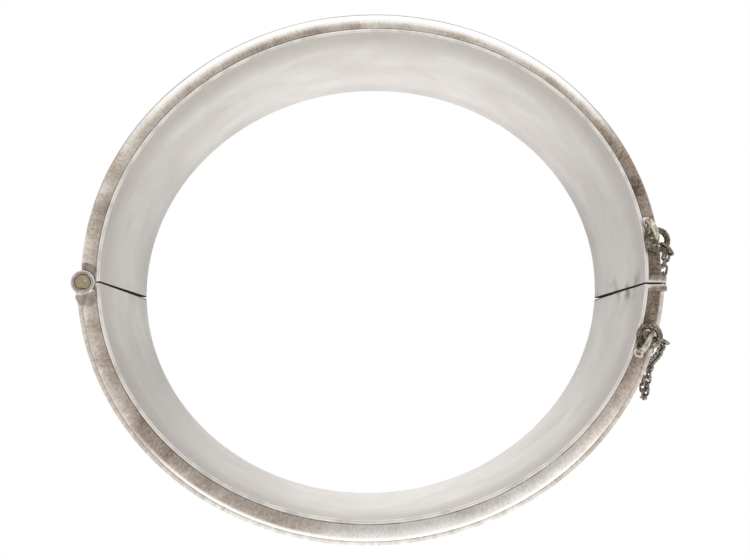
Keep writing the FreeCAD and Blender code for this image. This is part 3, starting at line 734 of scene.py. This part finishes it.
def islands(node):
    """Each separate solid of a CAD node in millimetres: its middle, axes and sizes, longest first.

    Corners of its triangles within a micrometre of each other count as one.
    """
    mesh = node.data
    place = {}
    merged = [place.setdefault(tuple(round(c * 1e6) for c in v.co), len(place))
              for v in mesh.vertices]
    parent = list(range(len(place)))

    def root(i):
        while parent[i] != i:
            parent[i] = parent[parent[i]]
            i = parent[i]
        return i

    for face in mesh.polygons:
        ids = [root(merged[v]) for v in face.vertices]
        for other in ids[1:]:
            parent[root(other)] = root(ids[0])
    groups = {}
    for face in mesh.polygons:
        groups.setdefault(root(merged[face.vertices[0]]), []).append(face)
    found = []
    for faces in groups.values():
        areas = np.array([face.area for face in faces])
        centres = np.array([face.center for face in faces]) * PER_METRE
        middle = (areas[:, None] * centres).sum(0) / areas.sum()
        spread = ((centres - middle) * areas[:, None]).T @ (centres - middle)
        axes = np.linalg.eigh(spread)[1].T[::-1]
        corners = [mesh.vertices[v].co for face in faces for v in face.vertices]
        reach = (np.array(corners) * PER_METRE - middle) @ axes.T
        middle = middle + ((reach.max(0) + reach.min(0)) / 2) @ axes
        found.append((Vector(middle), [Vector(axis) for axis in axes], np.ptp(reach, axis=0)))
    return found


def oval_path(middle, axes, bend, straight, turns=10):
    """Centre line of an oval link, long along its first axis."""
    path = []
    for sign in (1, -1):
        for i in range(turns + 1):
            angle = math.radians(-90 + 180 * i / turns)
            along = sign * (straight / 2 + bend * math.cos(angle))
            aside = sign * bend * math.sin(angle)
            path.append(middle + axes[0] * along + axes[1] * aside)
    return path


def chain_links():
    """Round wire links in place of the six-sided ones; no two are bent to quite one width."""
    for name in sorted(n for n in NODES if n.startswith("chain_")):
        points, faces, layout = [], [], []
        for middle, axes, (_, wide, _) in islands(NODES[name]):
            bend, straight, wire = CHAIN_LINK if wide < JOINING_LINK_WIDE else JOINING_LINK
            path = oval_path(middle, axes, bend * random.uniform(0.985, 1.0), straight)
            more, sides, marks = tube(path, wire, 10, True, axes[2])
            shift = len(points)
            points += more
            faces += [tuple(v + shift for v in side) for side in sides]
            layout += marks
        piece(name + "_round", points, faces, layout, WIRE, name, [name])
    bend, straight, wire = END_LINK
    for half in ("back", "front"):
        name = half + "_end_link"
        middle, axes, _ = islands(NODES[name])[0]
        path = oval_path(middle, axes, bend, straight)
        points, faces, layout = tube(path, wire, 14, True, axes[2])
        piece(name + "_round", points, faces, layout, WIRE, half + "_hanger",
              [name])


def jump_rings():
    """Jump rings of round wire, each with the saw cut where it was opened and closed again."""
    for half, cut in (("back", 150), ("front", 215)):
        name = half + "_jump_ring"
        middle = islands(NODES[name])[0][0]
        turns = [math.radians(cut + SAW_CUT + (360 - 2 * SAW_CUT) * i / RING_STEPS)
                 for i in range(RING_STEPS + 1)]
        path = [middle + Vector((RING_RADIUS * math.cos(t), RING_RADIUS * math.sin(t), 0))
                for t in turns]
        points, faces, layout = tube(path, RING_WIRE, 18, False)
        piece(name + "_round", points, faces, layout, RING, half + "_ring",
              [name])


def staples():
    """Staples of round wire with solder run round both feet."""
    long_radius = OPENING_LONG + SHEET + STAPLE_INSET
    short_radius = OPENING_SHORT + SHEET + STAPLE_INSET
    lean, up = Matrix.Rotation(LEAN, 3, "Z"), Vector((0, 0, 1))
    # Where each stands round the oval, and how it is twisted from the wall's line, in degrees.
    for half, degrees, twist in (("back", 3.0, 10.0), ("front", -22.6, -10.0)):
        name, body, angle = half + "_staple", half + "_half", math.radians(degrees)
        foot = lean @ Vector((long_radius * math.cos(angle), short_radius * math.sin(angle), 0))
        along = lean @ Vector((-long_radius * math.sin(angle), short_radius * math.cos(angle), 0))
        along = Matrix.Rotation(math.radians(twist), 3, "Z") @ along.normalized()
        foot = foot + up * RIM_TOP
        turns = [math.radians(9 * i) for i in range(21)]
        path = [foot + along * (STAPLE_REACH * math.cos(t))
                + up * (STAPLE_LEG + STAPLE_REACH * math.sin(t)) for t in turns]
        path = [foot + along * STAPLE_REACH] + path + [foot - along * STAPLE_REACH]
        points, faces, layout = tube(path, STAPLE_WIRE, 16, False, along.cross(up))
        piece(name + "_round", points, faces, layout, STAPLE, body, [name])
        for side, label in ((1, "a"), (-1, "b")):
            mound(name + "_solder_" + label, foot + along * (side * STAPLE_REACH), SOLDER_FOOT,
                  SOLDER_HIGH, body, SOLDER)


def mound(name, foot, spread, height, body, material):
    """A small run of solder: a low uneven cone that flares into the surface it sits on."""
    points, layout = [], []
    rings, sides = 7, 24
    phase = random.uniform(0, 6)
    for i in range(rings):
        share = i / (rings - 1)
        radius = spread * (1 - 0.8 * share ** 1.5)
        for k in range(sides):
            turn = 2 * math.pi * k / sides
            ragged = 1 + 0.13 * math.sin(2 * turn + phase) + 0.07 * math.sin(5 * turn + 2 * phase)
            points.append((foot.x + radius * ragged * math.cos(turn),
                           foot.y + radius * ragged * math.sin(turn),
                           foot.z - SOLDER_SUNK + (height + SOLDER_SUNK) * share))
            layout.append((radius * turn, share))
    piece(name, points, ring_faces(rings, sides), layout, material, body)


# ---- pieces shown as they are built -------------------------------------------------------------
def softened(node, material, width):
    """A CAD node with its own material and slightly broken edges."""
    node.data.materials.clear()
    node.data.materials.append(material)
    node.modifiers.new("weld", "WELD").merge_threshold = 0.002 * MM
    if width:
        bevel = node.modifiers.new("broken_edges", "BEVEL")
        bevel.width = width * MM
        bevel.segments = 2
        bevel.limit_method = "ANGLE"
        bevel.angle_limit = BEVEL_FROM
        bevel.harden_normals = True


both_halves()
front_skin()
reeded_border("front_border_top", RIM_TOP - BORDER_DROP, 1)
reeded_border("front_border_bottom", LIP + BORDER_DROP, -1)
chain_links()
jump_rings()
staples()
for label, x, y, spread in (("a", -31.7, -3.1, 0.95), ("b", -31.0, -3.4, 0.8),
                            ("c", -30.8, -2.75, 0.45)):
    mound("front_hinge_solder_" + label, Vector((x, y, RIM_TOP)), spread, HINGE_SOLDER_HIGH,
          "front_half", KNUCKLE)
for name, material, width in (("back_hinge_plate", HINGE_PLATE, 0.05),
                              ("front_hinge_plate", HINGE_PLATE, 0.05),
                              ("back_clasp_plate", PLATE, 0.05),
                              ("front_clasp_plate", PLATE, 0.05),
                              ("back_hinge_knuckles", KNUCKLE, 0.12),
                              ("front_hinge_knuckles", KNUCKLE, 0.12),
                              ("hinge_pin", BRASS, 0.06), ("clasp_tongue", SPRING, 0.0),
                              ("clasp_spring", SPRING, 0.02)):
    softened(NODES[name], material, width)


# ---- studio -------------------------------------------------------------------------------------
def floor():
    """Plain pale table of matt paper.

    The camera sees pure white. The metal sees pale paper that glows more away from the middle.
    """
    s = new_material("floor_paper_white")
    s.tree.nodes.remove(s.tree.nodes["Principled BSDF"])
    place = rest_place(s)
    depth = s.add("SeparateXYZ", place, out=1)
    grain = s.add("TexNoise", place, Scale=0.05, Detail=3, Roughness=0.6)
    paper = s.add("ValToRGB", grain, stops=((0.3, "#e9e8e6"), (0.7, "#f1f0ee")))
    to_the_side = s.add("Math", depth, operation="ABSOLUTE")
    glow = s.sum(0.24, (s.add("MapRange", to_the_side, 6.0, 26.0), 0.42))
    table = s.add("AddShader", s.add("BsdfDiffuse", paper), s.add("Emission", paper, glow))
    bright = s.add("Emission", "#ffffff", 1.0)
    seen = s.add("LightPath")
    s.fill(s.tree.nodes["Material Output"], s.add("MixShader", seen, table, bright))
    mesh = bpy.data.meshes.new("floor")
    far = 1.5
    mesh.from_pydata([(-far, -far, 0), (far, -far, 0), (far, far, 0), (-far, far, 0)], [],
                     [(0, 1, 2, 3)])
    mesh.materials.append(s.owner)
    thing = bpy.data.objects.new("floor", mesh)
    bpy.context.scene.collection.objects.link(thing)


def sky():
    """Soft studio: bright round the horizon, darker overhead where the camera hangs."""
    world = bpy.context.scene.world = bpy.data.worlds.new("studio")
    s = Shade(world)
    up = s.add("SeparateXYZ", s.add("TexCoord"), out=2)
    dome = s.add("ValToRGB", up, stops=((0.0, 1.0), (0.75, 1.0), (0.86, 0.85), (0.93, 0.62),
                                        (0.98, 0.48), (1.0, 0.4)))
    s.fill(s.tree.nodes["Background"], dome, 1.1)


def camera():
    """Camera over the bangle, fitted to the two rims in the photograph."""
    lens = bpy.data.cameras.new("camera")
    lens.lens, lens.sensor_width, lens.clip_start = 39.896, 36.0, 0.005
    thing = bpy.data.objects.new("camera", lens)
    thing.location = (-1.486 * MM, -11.296 * MM, 110.778 * MM)
    thing.rotation_euler = Euler([math.radians(a) for a in (6.285, -0.988, 0.010)])
    bpy.context.scene.collection.objects.link(thing)
    bpy.context.scene.camera = thing


def softbox():
    """One large lamp behind the bangle, turned to its middle; its sizes are in metres."""
    place, aim = Vector((0.0, 0.35, 0.22)), Vector((0, 0, 0.01))
    light = bpy.data.lights.new("softbox_back", "AREA")
    light.shape = "RECTANGLE"
    light.size, light.size_y = 0.30, 0.12
    light.energy = 0.05
    thing = bpy.data.objects.new("softbox_back", light)
    thing.location = place
    thing.rotation_euler = (aim - place).to_track_quat("-Z", "Y").to_euler()
    bpy.context.scene.collection.objects.link(thing)


floor()
sky()
camera()
softbox()
bpy.context.scene.view_settings.view_transform = "Standard"
